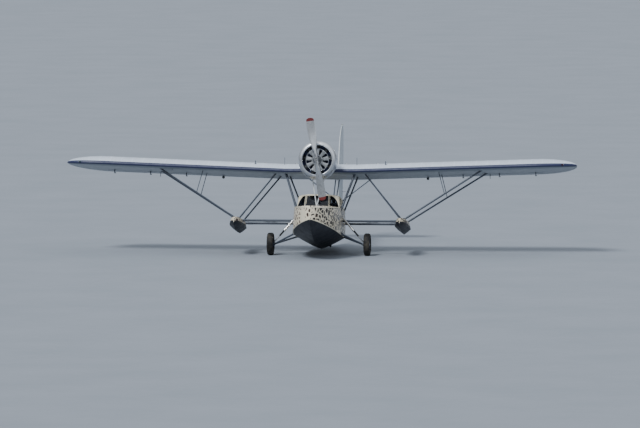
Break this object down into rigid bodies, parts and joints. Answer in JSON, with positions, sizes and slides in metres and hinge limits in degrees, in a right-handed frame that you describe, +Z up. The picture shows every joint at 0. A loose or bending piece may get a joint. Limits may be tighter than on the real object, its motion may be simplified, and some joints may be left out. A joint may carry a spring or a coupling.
{
  "type": "amphibious flying boat",
  "caption": "Single-engine amphibious flying boat with a parasol wing on struts, a stepped hull, side floats and a boom-mounted tail, standing on its wheels.",
  "frame": {"origin": "on the ground, under the centre of the overall box", "axes": "+X to port (the aircraft left side), +Y aft, +Z up; the nose points along -Y"},
  "size_m": [15.8484, 10.1264, 4.2844],
  "materials": {
    "cream": "gloss cream with dark brown patches",
    "white": "satin off-white",
    "navy": "gloss navy",
    "slate": "satin slate",
    "alloy": "polished",
    "iron": "dark matt",
    "rubber": "matt",
    "leather": "soft brown",
    "glass": "clear"
  },
  "bodies": {
    "airframe": {"hull_bow": "cream", "hull_cabin": "cream", "cabin_top": "cream", "windshield_glass": "glass", "side_glass_left": "glass", "side_glass_right": "glass", "instrument_panel": "iron", "control_column": "iron", "seat_front_left": "leather", "seat_front_right": "leather", "seat_rear": "leather", "hull_stern": "cream", "engine": "iron", "engine_baffle": "alloy", "ring_cowl": "white", "nacelle": "white", "wing_center": "white", "wing_left": "white", "wing_right": "white", "tail_boom": "white", "fin": "white", "stabilizer": "white", "float_left": "cream", "float_right": "cream", "cabane_front_left": "slate", "cabane_front_right": "slate", "cabane_rear_left": "slate", "cabane_rear_right": "slate", "wing_struts_front_left": "slate", "wing_struts_front_right": "slate", "wing_struts_rear_left": "slate", "wing_struts_rear_right": "slate", "outrigger_front_left": "slate", "outrigger_front_right": "slate", "outrigger_rear_left": "slate", "outrigger_rear_right": "slate", "engine_vee_strut": "white", "boom_strut_left": "slate", "boom_strut_right": "slate", "tailplane_strut_left": "slate", "tailplane_strut_right": "slate", "gear_arm_left": "slate", "gear_arm_right": "slate", "shock_strut_left": "slate", "shock_strut_right": "slate"},
    "propeller": {"propeller": "alloy"},
    "wheel_left": {"tyre_left": "rubber", "wheel_left": "navy"},
    "wheel_right": {"tyre_right": "rubber", "wheel_right": "navy"},
    "tail_fork": {"tail_fork": "slate"},
    "tail_wheel": {"tail_wheel": "rubber"},
    "aileron_left": {"aileron_left": "white"},
    "aileron_right": {"aileron_right": "white"},
    "rudder": {"rudder": "white"},
    "elevator": {"elevator": "white"},
    "cabin_hatch": {"cabin_hatch": "cream"}
  },
  "joints": [
    {"name": "propeller_spin", "type": "hinge", "parent": "airframe", "child": "propeller", "pos_m": [0, -3.24514, 3.02593], "axis": [0, 0.9877, -0.1564], "continuous": true},
    {"name": "wheel_left_spin", "type": "hinge", "parent": "airframe", "child": "wheel_left", "pos_m": [1.5, -2.44457, 0.34569], "axis": [1, 0, 0], "continuous": true},
    {"name": "wheel_right_spin", "type": "hinge", "parent": "airframe", "child": "wheel_right", "pos_m": [-1.5, -2.44457, 0.34569], "axis": [1, 0, 0], "continuous": true},
    {"name": "tail_wheel_steer", "type": "hinge", "parent": "airframe", "child": "tail_fork", "pos_m": [0, 0.94646, 0.11852], "axis": [0, 0, 1], "range_deg": [-40, 40]},
    {"name": "tail_wheel_spin", "type": "hinge", "parent": "tail_fork", "child": "tail_wheel", "pos_m": [0, 1.01246, 0.11852], "axis": [1, 0, 0], "continuous": true},
    {"name": "aileron_left_turn", "type": "hinge", "parent": "airframe", "child": "aileron_left", "pos_m": [3.54857, -0.64226, 2.44643], "axis": [0.9993, 0.0057, 0.0362], "range_deg": [-20, 20]},
    {"name": "aileron_right_turn", "type": "hinge", "parent": "airframe", "child": "aileron_right", "pos_m": [-3.54857, -0.64226, 2.44643], "axis": [0.9993, -0.0057, -0.0362], "range_deg": [-20, 20]},
    {"name": "rudder_turn", "type": "hinge", "parent": "airframe", "child": "rudder", "pos_m": [0, 4.41696, 2.30848], "axis": [0, 0.1564, 0.9877], "range_deg": [-25, 25]},
    {"name": "elevator_turn", "type": "hinge", "parent": "airframe", "child": "elevator", "pos_m": [0, 4.24427, 2.11309], "axis": [1, 0, 0], "range_deg": [-20, 25]},
    {"name": "hatch_open", "type": "hinge", "parent": "airframe", "child": "cabin_hatch", "pos_m": [0.32, -0.90787, 1.48217], "axis": [0, 0.8746, -0.4848], "range_deg": [0, 100]}
  ],
  "couplings": [
    {"joint": "aileron_right_turn", "follows": "aileron_left_turn", "ratio": -1}
  ]
}
